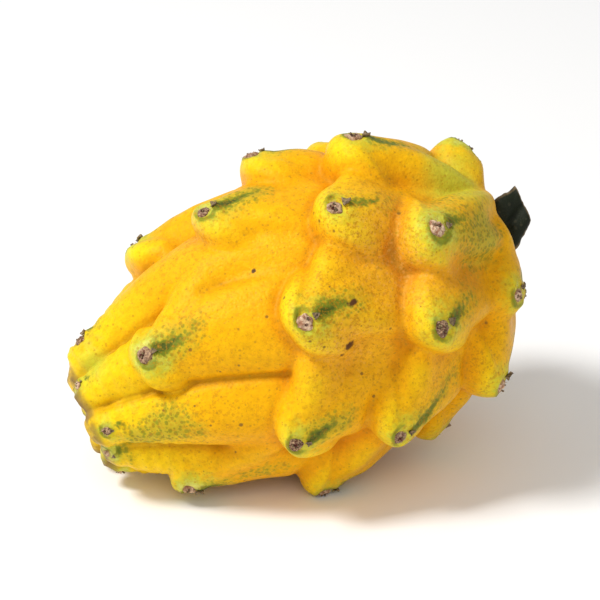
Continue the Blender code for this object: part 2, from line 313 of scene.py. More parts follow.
def small_forms(arc, turn, plain, height):
    """Heights to add to the grown skin, whose plain points are given."""
    fraction = np.interp(arc, ARC, PLACE) / BODY_LENGTH
    added = WAVE_HEIGHT * soft_noise(plain, 13.0, 1) + 0.35 * WAVE_HEIGHT * soft_noise(plain, 4.5, 2)
    fold_wave = np.sin(arc * 2.1 + 1.6 * soft_noise(plain, 9.0, 3) + 1.5 * np.cos(3 * turn))
    added += FOLD_DEPTH * fold_wave * (1 - ease(0.10, 0.24, fraction)) * ease(0.8, 1.2, arc / ARC[RIM])
    added -= CREASE_DEPTH * rib_crease(arc, turn, height)
    for number in BORNE:
        along, aside = from_nose(number, arc, turn)
        size = CUSHION_AT[number]
        distance = np.hypot(along, aside) / size
        added -= size * PIT_DEPTH * np.exp(-(distance / 1.7) ** 4)
        added += size * COLLAR_HEIGHT * np.exp(-((distance - 2.5) / 0.8) ** 2)
        reach = GROOVE_LENGTH * GROOVE_REACH[number] * size
        window = ease(1.8, 4.0, along) * (1 - ease(0.6 * reach, 1.2 * reach, along))
        added -= size * GROOVE_DEPTH * GROOVE_STRENGTH[number] * window * np.exp(-(aside / 1.3) ** 2)
    return added


def skin_points(arc, turn, detailed=True):
    """Points of the skin about the fruit's own axis, X running from the blossom rim to the stem end."""
    height, lean = growth(arc, turn)
    outside = ease(0.35 * ARC[RIM], 1.05 * ARC[RIM], arc) * ease(STEM_RADIUS, STEM_SEAT, ARC[-1] - arc)
    along_place = np.interp(arc, ARC, PLACE_SLOPE)
    along_radius = np.interp(arc, ARC, RADIUS_SLOPE)

    def lifted(height):
        place = np.interp(arc, ARC, PLACE) - along_radius * height * outside - along_place * lean * outside
        radius = np.interp(arc, ARC, RADIUS) + along_place * height * outside - along_radius * lean * outside
        radius = np.maximum(radius, 0)
        return np.stack([place, -radius * np.cos(turn), -radius * np.sin(turn)], axis=1)

    points = lifted(height)
    if detailed:
        points = lifted(height + small_forms(arc, turn, points, height))
    return points, height


# %% [markdown]
# ## The skin as one closed mesh
# A sphere has one row of faces for each step along the fruit and one column for each step around it, and it
# is closed at both poles. So the skin starts as a UV sphere, and each of its vertices is carried out to the
# place that the growth rules give. It then lies as the CAD model lies: rolled onto its three lowest noses,
# its axis rising to the fat end, and pressed flat where it rests.

# %% Carry a sphere out to the grown skin
SKIN_COLUMNS = 440
SKIN_ROWS = 220
skin_shape = bmesh.new()
bmesh.ops.create_uvsphere(skin_shape, u_segments=SKIN_COLUMNS, v_segments=SKIN_ROWS, radius=1.0)
polar = np.array([math.acos(max(-1.0, min(1.0, vert.co.z))) for vert in skin_shape.verts])
skin_turn = np.array([-math.atan2(vert.co.y, vert.co.x) for vert in skin_shape.verts])
skin_arc = ARC[-1] * polar / math.pi
skin_place, skin_height = skin_points(skin_arc, skin_turn)
print(len(skin_shape.verts), "vertices,", 2 * SKIN_COLUMNS * (SKIN_ROWS - 1), "triangles")

# %% Lay it down where the CAD fruit lies
roll = Matrix.Rotation(math.radians(90 - DOWN_TURN), 3, "X")
lying = Matrix.Rotation(math.radians(-LIE_TILT), 3, "Y") @ roll
turned = skin_place * MM @ np.array(lying).T
cad_low, cad_high = (np.array(corner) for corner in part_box("fruit"))
shift = (cad_low + cad_high) / 2 - (turned.min(axis=0) + turned.max(axis=0)) / 2
shift[2] = cad_high[2] - turned[:, 2].max()
RESTING = Matrix.Translation(shift) @ lying.to_4x4() @ Matrix.Scale(MM, 4)
laid = turned + shift
laid[:, 2] = np.maximum(laid[:, 2], 0)
for vert, point in zip(skin_shape.verts, laid):
    vert.co = point
print("the fine skin is", np.round((laid.max(axis=0) - laid.min(axis=0)) / MM, 1), "mm over all")


# %% Turn a shape into an object that rides on the fruit
def keep_off_floor(shape):
    """Flattens whatever would reach below the floor."""
    for vert in shape.verts:
        vert.co.z = max(vert.co.z, 0.0)


def finish_piece(name, shape, material, smooth=True):
    """The shape as an object at the origin, riding on the one body."""
    mesh = bpy.data.meshes.new(name)
    shape.to_mesh(mesh)
    shape.free()
    mesh.materials.append(material)
    if smooth:
        mesh.shade_smooth()
    piece = bpy.data.objects.new(name, mesh)
    bpy.context.scene.collection.objects.link(piece)
    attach(piece, "root")
    print(name, "has", sum(len(face.vertices) - 2 for face in mesh.polygons), "triangles")
    return piece


# %% [markdown]
# ## Where each colour lies
# The colours of the skin follow its growth: lemon on the ridges as painted highlight, orange and brown in
# the creases as painted shade, lime on the noses, a dark green streak in each groove and a ring of green
# around each areole. A shader can't know where a nose is, but the growth formulas do. So each vertex is
# given a few numbers between 0 and 1, kept on the mesh as attributes, and the material reads them by name
# and breaks their edges up with noise.

# %% Relief: above or below the skin around it
ends = np.array([[edge.verts[0].index, edge.verts[1].index] for edge in skin_shape.edges])
touching = np.bincount(ends.ravel(), minlength=len(skin_height))


def spread(values, rounds):
    """Values averaged over the edges again and again, which blurs them over the surface."""
    for _ in range(rounds):
        sums = np.bincount(ends[:, 0], values[ends[:, 1]], len(values))
        sums += np.bincount(ends[:, 1], values[ends[:, 0]], len(values))
        values = (values + sums / touching) / 2
    return values


relief = skin_height - spread(skin_height, 120)
fine_relief = skin_height - spread(skin_height, 14)
print("relief runs from", round(relief.min(), 2), "to", round(relief.max(), 2), "mm")

# %% Press the creases in and draw the ridges out
CREASE_PRESS = 1.2
RIDGE_PULL = 0.9
skin_shape.normal_update()
past_rim = ease(1.0, 1.4, skin_arc / ARC[RIM])
press = np.where(fine_relief < 0, CREASE_PRESS, RIDGE_PULL) * fine_relief * past_rim
for vert, depth in zip(skin_shape.verts, press):
    vert.co += vert.normal * (float(depth) * MM)
    vert.co.z = max(vert.co.z, 0.0)
print("the deepest crease was pressed in by", round(-press.min(), 2), "mm")


# %% Spots and tints around each nose
def spot(arc, turn, length, width):
    """1 in the middle of an oval at a place on the skin, fading to 0 outside it."""
    around = np.interp(arc, ARC, RADIUS)
    along = skin_arc - arc
    aside = around * half_turn(skin_turn - math.radians(turn))
    return np.exp(-(along / length) ** 2 - (aside / width) ** 2)


tint = {name: np.zeros(len(skin_arc)) for name in ("nose", "ring", "streak", "dapple")}
NOSE_GREEN = {31: 1.25, 28: 0.9, 33: 1.3, 26: 1.0, 29: 1.1, 23: 0.85, 18: 0.75, 10: 1.2, 13: 0.8,
              8: 1.4, 5: 1.4, 21: 0.9, 34: 0.7, 41: 1.3, 38: 1.3}
for number in BORNE:
    along, aside = from_nose(number, skin_arc, skin_turn)
    size = CUSHION_AT[number]
    green = NOSE_GREEN.get(int(number), 0.9)
    ahead = np.where(along < 0, 5.2, 4.6) * size * (0.6 + 0.4 * green)
    flap = np.exp(-(np.abs(along) / ahead) ** 2.4 - (np.abs(aside) / (4.6 * size)) ** 2.4)
    tint["nose"] = np.maximum(tint["nose"], min(green, 1.4) * flap)
    distance = np.hypot(along * np.where(along < 0, 0.85, 1.0), aside) / size
    facing = np.cos(np.arctan2(aside, -along) - 1.3 * math.sin(2.7 * number))
    ring = 1.25 * np.exp(-((distance - 2.1) / 0.8) ** 2) * (0.5 + 0.5 * facing)
    tint["ring"] = np.maximum(tint["ring"], ring * min(green, 1.1))
    reach = GROOVE_LENGTH * GROOVE_REACH[number] * size
    wedge = 1.55 - 0.75 * np.clip(along / reach, 0, 1)
    bend = 0.5 * np.sin(along / 3.1 + number)
    core = ease(1.2, 2.6, along) * (1 - ease(0.35 * reach, 1.15 * reach, along))
    core = core * np.exp(-((aside - bend) / wedge) ** 2)
    tint["streak"] = np.maximum(tint["streak"], core * min(GROOVE_STRENGTH[number], 1.2))
    haze = ease(0, 3, along) * (1 - ease(0.7 * reach, 2.0 * reach, along))
    haze = haze * np.exp(-((aside - bend) / 3.6) ** 2)
    tint["dapple"] = np.maximum(tint["dapple"], 0.9 * haze * min(GROOVE_STRENGTH[number], 1.1))
print({name: round(values.mean(), 3) for name, values in tint.items()})

# %% Regions that ripened, rubbed or freckled differently, and masks for painted shade and highlight
# The dapple at 104 mm and -3 degrees, near the stem end, is partly the skin's olive green and partly painted
# shade of that end.
dapple_spots = (
    1.25 * spot(28.0, 20, 6.5, 4.2), 1.1 * spot(21.5, 26, 5.5, 3.2), 0.8 * spot(34, 27, 3.0, 3.0),
    0.7 * spot(43, 66, 9.0, 2.5), 1.1 * spot(104, -3, 9.0, 6.5), 0.7 * spot(99, -28, 7.0, 3.5),
    0.6 * spot(57, 150, 9.0, 5.0), 0.6 * spot(80, -150, 8.0, 5.0), 0.6 * spot(30, -110, 7.0, 4.0),
)
tint["dapple"] = np.maximum(tint["dapple"], np.max(dapple_spots, axis=0))
tint["freckles"] = 0.35 + 0.65 * np.max(
    (
        spot(72, 8, 16, 15), spot(80, -22, 14, 12), 0.7 * spot(35, 20, 13, 9), 0.7 * spot(40, -16, 9, 7),
        0.8 * spot(50, -58, 10, 6), 0.7 * spot(90, 60, 20, 20), 0.7 * spot(60, 170, 20, 22),
    ),
    axis=0,
)
tint["rose"] = np.max((spot(85, -10, 10, 11), 0.8 * spot(68, 12, 8, 9), 0.7 * spot(55, -62, 8, 4)), axis=0)
tint["rose"] = np.maximum(tint["rose"], 0.8 * spot(85, 165, 14, 14))
tint["lime"] = np.max((spot(106, -47, 9, 11), 0.8 * spot(18, -45, 6, 5), 0.6 * spot(105, -5, 6, 9)), axis=0)
tint["lime"] = np.maximum(tint["lime"], 0.7 * spot(100, 150, 12, 10))
tint["scar"] = np.max((spot(72.7, -1, 1.1, 0.8), spot(68.9, 13, 1.3, 0.9), 0.8 * spot(66.8, 15, 0.8, 0.6),
                       spot(57.9, -31, 0.7, 0.6), spot(96, 100, 1.2, 0.9), spot(50, -160, 1.0, 1.3)), axis=0)
rim_distance = skin_arc - ARC[RIM]
tint["rim"] = np.exp(-((rim_distance - 0.6) / 0.75) ** 2)
tint["crater"] = 1 - ease(-2.6, -0.4, rim_distance)
# The lemon laid by this mask is painted highlight on the raised ridges; it also lightens the narrow end,
# fading out from 20 to 44 mm along the outline.
tint["ridge"] = np.maximum(ease(-0.2, 1.7, relief), 0.75 * (1 - ease(20, 44, skin_arc)))
# Painted shade: the orange laid by this mask darkens the creases and a patch near the stem end, 98 mm along
# the outline.
tint["crease"] = np.maximum(ease(0.15, 1.7, -relief), 0.8 * spot(98, 8, 12, 10))
# Painted shade: the brown laid by this mask darkens the fine hollows and the creases between the ribs.
tint["fold"] = np.maximum(0.6 * ease(0.2, 0.7, -fine_relief), rib_crease(skin_arc, skin_turn, skin_height))
print("attributes:", sorted(tint))

# %% [markdown]
# ## Helpers for the materials
# Node trees written out one socket at a time are hard to read. A few small functions make a node, link or
# set its inputs, and hand back its output, so that a material reads like a recipe.


# %% Node helpers
def feed(socket, value):
    """Links a socket to another one, or sets it to a plain value."""
    if isinstance(value, bpy.types.NodeSocket):
        socket.id_data.links.new(value, socket)
    elif hasattr(value, "__len__") and len(value) == 3 and socket.type == "RGBA":
        socket.default_value = (*value, 1)
    else:
        socket.default_value = value


def add_node(tree, kind, output, inputs, **settings):
    """A new node with its settings and inputs, which hands back one of its outputs."""
    node = tree.nodes.new(kind)
    for name, value in settings.items():
        setattr(node, name, value)
    for key, value in inputs.items():
        feed(node.inputs[key], value)
    return node.outputs[output]


def tree_of(*values):
    """The node tree of the first socket among these."""
    return next(value.id_data for value in values if isinstance(value, bpy.types.NodeSocket))


def mix(amount, first, second, how="MIX"):
    return add_node(tree_of(amount, first, second), "ShaderNodeMix", 2, {0: amount, 6: first, 7: second},
                    data_type="RGBA", blend_type=how)


def reckon(how, *values):
    return add_node(tree_of(*values), "ShaderNodeMath", 0, dict(enumerate(values)), operation=how)


def times(first, second):
    return reckon("MULTIPLY", first, second)


def plus(first, second):
    return reckon("ADD", first, second)


def uneven(value, noise_value, amount):
    """The value pushed up and down by a noise around 0.5, which breaks its edge up."""
    return plus(value, times(reckon("SUBTRACT", noise_value, 0.5), amount))


def lay_over(below, colour, mask, strength=1.0):
    """A colour laid over the one below it where the mask is."""
    if strength < 1.0:
        mask = times(mask, strength)
    return mix(mask, below, colour)


def step_between(value, low, high):
    """0 below low, 1 above high, a smooth S between."""
    return add_node(tree_of(value), "ShaderNodeMapRange", "Result",
                    {"Value": value, "From Min": low, "From Max": high}, interpolation_type="SMOOTHSTEP")


def grown(name):
    """The attribute that the mesh carries under this name, in the material at hand."""
    return add_node(tree, "ShaderNodeAttribute", "Fac", {}, attribute_name=name)


def cloud(feature_mm, detail=3.0, roughness=0.55, shift=0.0):
    """Noise between 0 and 1 with features about this many millimetres wide, in the material at hand."""
    inputs = {"Vector": place, "W": shift, "Scale": 1 / (feature_mm * MM), "Detail": detail,
              "Roughness": roughness}
    return add_node(tree, "ShaderNodeTexNoise", "Fac", inputs, noise_dimensions="4D")


def new_material(name):
    """An empty material with its tree, its shader and its object coordinates."""
    material = bpy.data.materials.new(name)
    material.use_nodes = True
    tree = material.node_tree
    return material, tree, tree.nodes["Principled BSDF"], add_node(tree, "ShaderNodeTexCoord", "Object", {})


def surface(shader, colour, roughness, bump, bump_mm):
    """The shader's colour, its roughness and a bump of so many millimetres."""
    inputs = {"Height": bump, "Distance": bump_mm * MM, "Strength": 1.0}
    feed(shader.inputs["Normal"], add_node(tree_of(bump), "ShaderNodeBump", "Normal", inputs))
    feed(shader.inputs["Base Color"], colour)
    feed(shader.inputs["Roughness"], roughness)


print("node helpers are ready")

# %% [markdown]
# ## Two shared effects
# Freckles and grain turn up on the skin, on the stem and on the felt, so each is a node group with its own
# inputs, built once and placed in every material that needs it. A Voronoi texture splits space into cells.
# The distance to a cell's middle draws a round freckle, and the cell's random colour decides whether that
# cell has a freckle at all, and how large it is.


# %% Freckles
def new_group(name, inputs, outputs):
    group = bpy.data.node_groups.new(name, "ShaderNodeTree")
    for socket, kind, start in inputs:
        made = group.interface.new_socket(socket, in_out="INPUT", socket_type=kind)
        if start is not None:
            made.default_value = start
    for socket, kind in outputs:
        group.interface.new_socket(socket, in_out="OUTPUT", socket_type=kind)
    return group, group.nodes.new("NodeGroupInput").outputs, group.nodes.new("NodeGroupOutput").inputs


freckle_group, given, result = new_group(
    "freckles",
    (("Place", "NodeSocketVector", None), ("Spacing", "NodeSocketFloat", 500.0),
     ("Share", "NodeSocketFloat", 0.4), ("Size", "NodeSocketFloat", 0.2)),
    (("Mask", "NodeSocketFloat"), ("Tone", "NodeSocketFloat")),
)
cells = freckle_group.nodes.new("ShaderNodeTexVoronoi")
feed(cells.inputs["Vector"], given["Place"])
feed(cells.inputs["Scale"], given["Spacing"])
split = freckle_group.nodes.new("ShaderNodeSeparateColor")
feed(split.inputs["Color"], cells.outputs["Color"])
present = reckon("LESS_THAN", split.outputs[0], given["Share"])
own_size = times(given["Size"], plus(split.outputs[1], 0.35))
edge = reckon("DIVIDE", cells.outputs["Distance"], own_size)
dot = step_between(edge, 1.15, 0.6)
feed(result["Mask"], times(dot, present))
feed(result["Tone"], split.outputs[2])
print("group:", freckle_group.name)

# %% Grain
grain_group, given, result = new_group(
    "grain",
    (("Place", "NodeSocketVector", None), ("Scale", "NodeSocketFloat", 1500.0)),
    (("Height", "NodeSocketFloat"), ("Tone", "NodeSocketFloat")),
)
pores = grain_group.nodes.new("ShaderNodeTexVoronoi")
pores.feature = "SMOOTH_F1"
feed(pores.inputs["Vector"], given["Place"])
feed(pores.inputs["Scale"], given["Scale"])
fine = grain_group.nodes.new("ShaderNodeTexNoise")
feed(fine.inputs["Vector"], given["Place"])
feed(fine.inputs["Scale"], times(given["Scale"], 0.45))
fine.inputs["Detail"].default_value = 4.0
pore_height = step_between(pores.outputs["Distance"], 0.05, 0.5)
both = plus(times(pore_height, 0.5), fine.outputs["Fac"])
feed(result["Height"], both)
feed(result["Tone"], fine.outputs["Fac"])
print("group:", grain_group.name)


# %% Place a group in a material
def place_group(group, place, **values):
    node = place.id_data.nodes.new("ShaderNodeGroup")
    node.node_tree = group
    feed(node.inputs["Place"], place)
    for name, value in values.items():
        feed(node.inputs[name], value)
    return node.outputs


# %% [markdown]
# ## The waxy yellow skin
# The skin is a saturated yellow with orange blotches. Orange in the creases and on a patch near the stem
# end, and brown along the fine creases, are painted shade; lemon on the ridges is painted highlight. Over
# that lie,
# from large to small: lime noses, rosy rubbed patches, green dapples, dark green streaks and rings, brown
# mottling and freckles. Each layer is one mix, driven by an attribute whose edge is broken up by noise. The
# surface is waxy: a soft, wide gloss with little reflection, and a little light that passes through.

# %% Skin colours
YELLOW = (0.83, 0.41, 0.003)
# The orange below is painted shade in the creases and the skin's own tone in its random blotches; the lemon
# is painted highlight on the ridges.
ORANGE_AND_SHADE = (0.72, 0.28, 0.002)
LEMON_HIGHLIGHT = (0.88, 0.62, 0.008)
LIME = (0.50, 0.55, 0.045)
PALE_LIME = (0.68, 0.66, 0.17)
GREEN = (0.17, 0.20, 0.015)
DARK_GREEN = (0.060, 0.085, 0.012)
DAPPLE_WASH = (0.42, 0.36, 0.025)
ROSE = (0.76, 0.38, 0.07)
# This brown is painted shade along the fine creases.
CREASE_SHADE = (0.40, 0.155, 0.004)
FRECKLE = (0.20, 0.10, 0.02)
SMALL_FRECKLE = (0.44, 0.22, 0.012)
MOTTLE = (0.50, 0.20, 0.008)
SCAR = (0.09, 0.035, 0.015)
RIM_BROWN = (0.22, 0.13, 0.04)
CRATER_TAN = (0.42, 0.30, 0.07)
CRATER_OLIVE = (0.30, 0.24, 0.03)

# %% Skin material: yellow, with painted shade in orange and painted highlight in lemon
skin_material, tree, shader, place = new_material("yellow_skin")
blotch = cloud(18, 2, shift=1)
patch = cloud(5, 4, shift=2)
fleck = cloud(2.2, 4, 0.7, shift=7)
grit = cloud(1.1, 3, shift=3)

orange_blotch = times(step_between(blotch, 0.48, 0.70), 0.35)
# The orange is painted shade in the creases and near the stem end, and the skin's own tone in the random
# blotches.
orange_and_shade_share = plus(times(grown("crease"), 0.85), orange_blotch)
colour = lay_over(YELLOW, ORANGE_AND_SHADE, step_between(orange_and_shade_share, 0.0, 1.0))
# The lemon is painted highlight on the ridges.
lemon_highlight_share = times(grown("ridge"), plus(patch, 0.45))
colour = lay_over(colour, LEMON_HIGHLIGHT, lemon_highlight_share)
# The brown is painted shade along the fine creases.
colour = lay_over(colour, CREASE_SHADE, grown("fold"), 0.75)
print("base colours are laid")

# %% Skin material: lime, rose and the noses
lime_edge = uneven(grown("lime"), patch, 0.8)
colour = lay_over(colour, LIME, step_between(lime_edge, 0.25, 0.95), 0.75)

rose_cells = place_group(freckle_group, place, Spacing=1300.0, Share=0.8, Size=0.45)
rose_edge = times(grown("rose"), plus(rose_cells["Mask"], 0.5))
colour = lay_over(colour, ROSE, rose_edge, 0.55)

nose_edge = uneven(grown("nose"), fleck, 1.6)
colour = lay_over(colour, LIME, step_between(nose_edge, 0.15, 1.1), 0.9)
colour = lay_over(colour, PALE_LIME, step_between(nose_edge, 0.75, 1.35), 0.75)
print("large tints are laid")

# %% Skin material: green dapples, streaks and rings
small_dapples = place_group(freckle_group, place, Spacing=1250.0, Share=0.9, Size=0.55)
large_dapples = place_group(freckle_group, place, Spacing=620.0, Share=0.6, Size=0.36)
dapple_edge = uneven(grown("dapple"), grit, 1.1)
dapple_wash = times(step_between(dapple_edge, 0.3, 1.0), 0.7)
colour = lay_over(colour, DAPPLE_WASH, dapple_wash)
dapples = reckon("MAXIMUM", small_dapples["Mask"], large_dapples["Mask"])
dark_dapples = times(dapples, step_between(dapple_edge, 0.25, 0.85))
colour = lay_over(colour, GREEN, dark_dapples, 0.7)

# Two noises together fray the streaks and the rings.
fray = plus(reckon("SUBTRACT", grit, 0.5), reckon("SUBTRACT", fleck, 0.5))
streak_edge = plus(grown("streak"), times(fray, 1.1))
colour = lay_over(colour, GREEN, step_between(streak_edge, 0.2, 0.6))
colour = lay_over(colour, DARK_GREEN, step_between(streak_edge, 0.55, 1.05))
ring_edge = plus(grown("ring"), times(fray, 0.9))
colour = lay_over(colour, GREEN, step_between(ring_edge, 0.35, 1.0), 0.85)
print("greens are laid")

# %% Skin material: mottling, freckles, rim and scars
freckled = grown("freckles")
mottle = step_between(cloud(0.7, 4, 0.75, shift=8), 0.50, 0.60)
colour = lay_over(colour, MOTTLE, times(mottle, times(freckled, 0.7)))
freckle_share = times(freckled, 0.75)
large_share = times(freckle_share, 0.6)
large_freckles = place_group(freckle_group, place, Spacing=330.0, Share=large_share, Size=0.13)
small_freckles = place_group(freckle_group, place, Spacing=1250.0, Share=freckle_share, Size=0.32)
colour = lay_over(colour, FRECKLE, large_freckles["Mask"], 0.8)
colour = lay_over(colour, SMALL_FRECKLE, small_freckles["Mask"], 0.55)

crater_tone = mix(patch, CRATER_TAN, CRATER_OLIVE)
colour = lay_over(colour, crater_tone, grown("crater"))
rim_edge = times(grown("rim"), step_between(patch, 0.35, 0.55))
colour = lay_over(colour, RIM_BROWN, rim_edge)
scar_edge = uneven(grown("scar"), grit, 1.0)
colour = lay_over(colour, SCAR, step_between(scar_edge, 0.35, 0.75))
print("marks are laid")

# %% Skin material: the waxy surface
skin_grain = place_group(grain_group, place, Scale=1500.0)
shade = plus(times(skin_grain["Tone"], 0.44), 0.78)
colour = mix(1.0, colour, shade, "MULTIPLY")
wax = plus(times(patch, 0.18), 0.36)
roughness = plus(wax, times(dapple_wash, 0.2))
bump = plus(skin_grain["Height"], times(grit, 0.8))
bump = reckon("SUBTRACT", bump, times(large_freckles["Mask"], 0.5))
surface(shader, colour, roughness, bump, 0.09)
shader.inputs["Specular IOR Level"].default_value = 0.20
shader.inputs["Specular Tint"].default_value = (1.0, 0.80, 0.30, 1)
shader.inputs["Subsurface Weight"].default_value = 0.06
shader.inputs["Subsurface Radius"].default_value = (1.0, 0.6, 0.1)
shader.inputs["Subsurface Scale"].default_value = 1.5 * MM
print("skin material has", len(tree.nodes), "nodes")

# %% Keep the attributes on the skin
for name, values in tint.items():
    layer = skin_shape.verts.layers.float.new(name)
    for vert, value in zip(skin_shape.verts, values):
        vert[layer] = value
skin = finish_piece("fruit_skin", skin_shape, skin_material)
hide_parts("fruit")

# %% [markdown]
# ## Areoles
# An areole is a cushion of short felt, 3 to 4 mm wide. The spines were brushed off when the fruit was
# picked, and left small holes and broken stubs; the holes are painted near-black as shade. Each cushion
# starts as a flattened sphere. Its outline is made uneven, and a few pits are pressed into its top. It sits
# in the pit that the skin has there.


# %% A frame on the skin at each nose
def skin_frame(number, along=0.0, aside=0.0):
    """A matrix whose X points aside, Y towards the stem and Z out of the skin, in millimetres."""
    arc = ARC_AT[number] + along
    turn = TURN[number] + aside / max(RADIUS_AT[number], 5.0)
    reach = 1.3
    arcs = np.array([arc, arc - reach, arc + reach, arc, arc])
    swing = reach / max(RADIUS_AT[number], 5.0)
    turns = np.array([turn, turn, turn, turn - swing, turn + swing])
    points = [RESTING @ Vector(point) for point in skin_points(arcs, turns)[0]]
    stemward = (points[2] - points[1]).normalized()
    across = (points[4] - points[3]).normalized()
    out = stemward.cross(across).normalized()
    if out.dot(points[0] - RESTING @ Vector((arc * 0.8, 0, 0))) < 0:
        out = -out
    sideways = stemward.cross(out)
    axes = Matrix((sideways, stemward, out)).transposed().to_4x4()
    return Matrix.Translation(points[0]) @ axes @ Matrix.Scale(MM, 4)


nose_frames = [skin_frame(number) for number in NUMBERS]
print("frames on", len(nose_frames), "noses")

# %% Cushions and their spine pits
CUSHION_AGE = {23: 0.05, 10: 0.15, 18: 0.55, 28: 0.95, 26: 0.75, 31: 0.7, 33: 0.35, 13: 0.5, 21: 0.6}
draw = random.Random(23)
cushion_shape = bmesh.new()
pit_shade_layer = cushion_shape.verts.layers.float.new("pit")
age_layer = cushion_shape.verts.layers.float.new("age")
spine_places = []
for number in BORNE:
    size = CUSHION_AT[number] * draw.uniform(0.9, 1.12)
    age = CUSHION_AGE.get(number, draw.uniform(0.1, 0.9))
    pits = []
    start = draw.uniform(0, 2 * math.pi)
    for step in range(draw.choice((2, 3, 3, 4))):
        angle = start + step * 1.9 + draw.uniform(-0.4, 0.4)
        away = draw.uniform(0.25, 1.05)
        pits.append(Vector((away * math.cos(angle), away * math.sin(angle), 0)))
    made = bmesh.ops.create_uvsphere(cushion_shape, u_segments=30, v_segments=16, radius=1.0)["verts"]
    for vert in made:
        flat = Vector((vert.co.x, vert.co.y, 0))
        outline = 1 + 0.42 * noise.noise(flat * 1.3 + Vector((number * 3.3, 0, 0)))
        lump = 0.26 * noise.noise(vert.co * 2.6 + Vector((0, number * 2.1, 0)))
        warp = 0.35 * noise.noise(vert.co * 4.0 + Vector((0, 0, number * 1.7)))
        hole = sum(math.exp(-((flat * CUSHION_RADIUS - pit).length / (0.40 + warp)) ** 2) for pit in pits)
        hole = min(hole, 1.0) if vert.co.z > 0 else 0.0
        vert[pit_shade_layer] = hole
        vert[age_layer] = age
        vert.co = Vector((vert.co.x * CUSHION_RADIUS * outline, vert.co.y * CUSHION_RADIUS * outline,
                          vert.co.z * 0.95 + lump - 0.40 * hole)) * size
        vert.co = nose_frames[number] @ vert.co
    spine_places += [(number, pit * size, size) for pit in pits]
keep_off_floor(cushion_shape)
print(len(spine_places), "spine pits on", len(BORNE), "cushions")

# %% Felt material
YOUNG_CREAM = (0.84, 0.60, 0.40)
YOUNG_BROWN = (0.38, 0.17, 0.09)
OLD_DARK = (0.11, 0.035, 0.02)
OLD_TAN = (0.56, 0.36, 0.21)
# The near-black red below is painted shade in the spine pits and in the flower's ditch.
PIT_SHADE = (0.10, 0.018, 0.012)
felt_material, tree, shader, place = new_material("areole_felt")
tuft = cloud(0.45, 3, shift=1)
young_tuft = step_between(cloud(0.9, 3, shift=2), 0.38, 0.62)
young = mix(young_tuft, YOUNG_CREAM, YOUNG_BROWN)
old = mix(step_between(tuft, 0.42, 0.60), OLD_DARK, OLD_TAN)
age_edge = uneven(grown("age"), tuft, 0.9)
colour = lay_over(young, old, step_between(age_edge, 0.2, 0.9))
# Painted shade: near-black in the spine pits of the cushions and in the ditch around the flower's style.
pit_shade_edge = uneven(grown("pit"), tuft, 0.9)
colour = lay_over(colour, PIT_SHADE, step_between(pit_shade_edge, 0.25, 0.75))
felt_grain = place_group(grain_group, place, Scale=5200.0)
felt_shade = plus(times(felt_grain["Tone"], 0.7), 0.65)
colour = mix(1.0, colour, felt_shade, "MULTIPLY")
surface(shader, colour, 0.92, plus(felt_grain["Height"], tuft), 0.25)
shader.inputs["Specular IOR Level"].default_value = 0.2
shader.inputs["Sheen Weight"].default_value = 0.06
finish_piece("areole_cushions", cushion_shape, felt_material)

# %% [markdown]
# ## Spine stubs, dried scales and felt hairs
# The broken spines are short, hollow pegs. On the stem side of each areole sits what is left of the flower's
# bract: a scale of a few millimetres that dried, darkened and curled. A grid of a few faces, narrowed to a
# tip, curled up and given a thickness, is enough for it. The felt hairs are three-sided cones, because there
# are hundreds of them.

# %% Dried material
DRIED_DARK = (0.06, 0.035, 0.02)
DRIED_TAN = (0.32, 0.22, 0.10)
DRIED_TIP = (0.30, 0.20, 0.11)
dried_material, tree, shader, place = new_material("dried_scale")
fibre = cloud(0.5, 4, shift=5)
colour = mix(step_between(fibre, 0.3, 0.7), DRIED_DARK, DRIED_TAN)
colour = lay_over(colour, DRIED_TIP, step_between(grown("tip"), 0.55, 1.0))
roughness = plus(times(fibre, 0.25), 0.55)
dried_grain = place_group(grain_group, place, Scale=4200.0)
surface(shader, colour, roughness, dried_grain["Height"], 0.08)
print("dried material has", len(tree.nodes), "nodes")

# %% Broken spines
draw = random.Random(5)
SPINES_LOST = 0.25
SPINE_LEAN = 0.35
SPINE_RISE = 0.62
spine_shape = bmesh.new()
for number, pit, size in spine_places:
    if draw.random() < SPINES_LOST:
        continue
    known = len(spine_shape.verts)
    radius = draw.uniform(0.14, 0.24) * size
    bmesh.ops.create_cone(spine_shape, cap_ends=True, segments=8, radius1=radius * 1.2, radius2=radius,
                          depth=draw.uniform(0.7, 1.3) * size)
    lean = Matrix.Rotation(draw.uniform(-SPINE_LEAN, SPINE_LEAN), 4, "X")
    lean = lean @ Matrix.Rotation(draw.uniform(-SPINE_LEAN, SPINE_LEAN), 4, "Y")
    stand = nose_frames[number] @ Matrix.Translation(pit + Vector((0, 0, SPINE_RISE * size))) @ lean
    bmesh.ops.transform(spine_shape, matrix=stand, verts=spine_shape.verts[known:])
ends_of_spines = [face for face in spine_shape.faces if len(face.verts) == 8]
bmesh.ops.inset_individual(spine_shape, faces=ends_of_spines, thickness=0.06 * MM, depth=-0.1 * MM)
keep_off_floor(spine_shape)
spine_tip = spine_shape.verts.layers.float.new("tip")
for vert in spine_shape.verts:
    vert[spine_tip] = 0.4
finish_piece("spine_stubs", spine_shape, dried_material, smooth=False)

